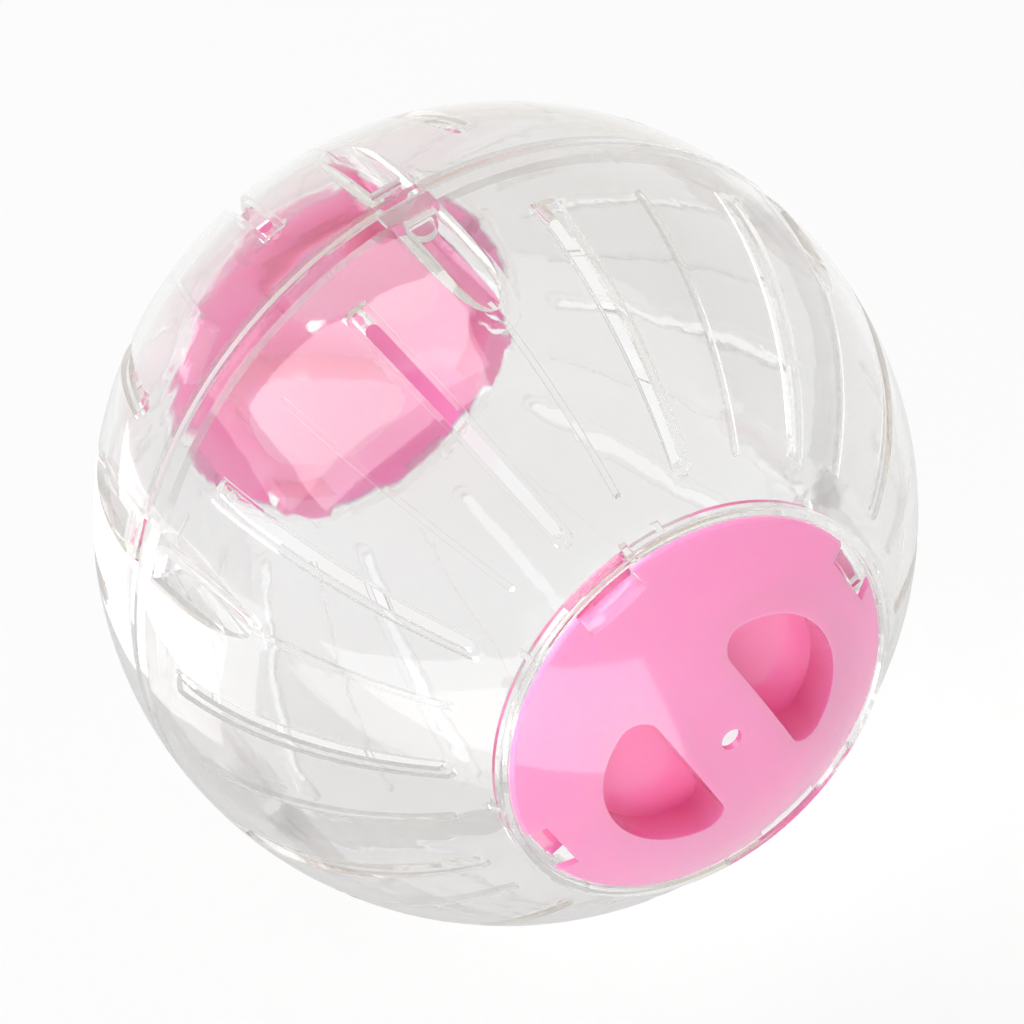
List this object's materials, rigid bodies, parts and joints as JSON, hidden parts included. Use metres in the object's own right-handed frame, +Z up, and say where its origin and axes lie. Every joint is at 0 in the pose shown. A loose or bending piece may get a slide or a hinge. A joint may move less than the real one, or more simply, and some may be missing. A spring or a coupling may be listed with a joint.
{
  "type": "hamster ball",
  "caption": "Clear two-part exercise ball for a small pet, with vent slots and a twist-off lid with finger pockets at each end.",
  "frame": {"origin": "centre of the ball, which is the centre of the bounding box", "axes": "+Z up, Y along the ball's axis through both lids, front lid towards -Y, X to the right"},
  "size_m": [0.14, 0.1434, 0.14],
  "materials": {
    "clear_plastic": "clear polished polystyrene",
    "pink_plastic": "smooth glossy opaque pink"
  },
  "bodies": {
    "rear_half": {"shell_rear": "clear_plastic"},
    "front_half": {"shell_front": "clear_plastic"},
    "front_lid": {"lid_front": "pink_plastic"},
    "rear_lid": {"lid_rear": "pink_plastic"}
  },
  "joints": [
    {"name": "halves_apart", "type": "slide", "parent": "rear_half", "child": "front_half", "axis": [0, -1, 0], "range_m": [0, 0.1]},
    {"name": "front_lid_turn", "type": "hinge", "parent": "front_half", "child": "front_lid", "pos_m": [0, -0.06, 0], "axis": [0, -1, 0], "range_deg": [0, 67]},
    {"name": "rear_lid_lift", "type": "slide", "parent": "rear_half", "child": "rear_lid", "axis": [0, 1, 0], "range_m": [0, 0.08]}
  ]
}
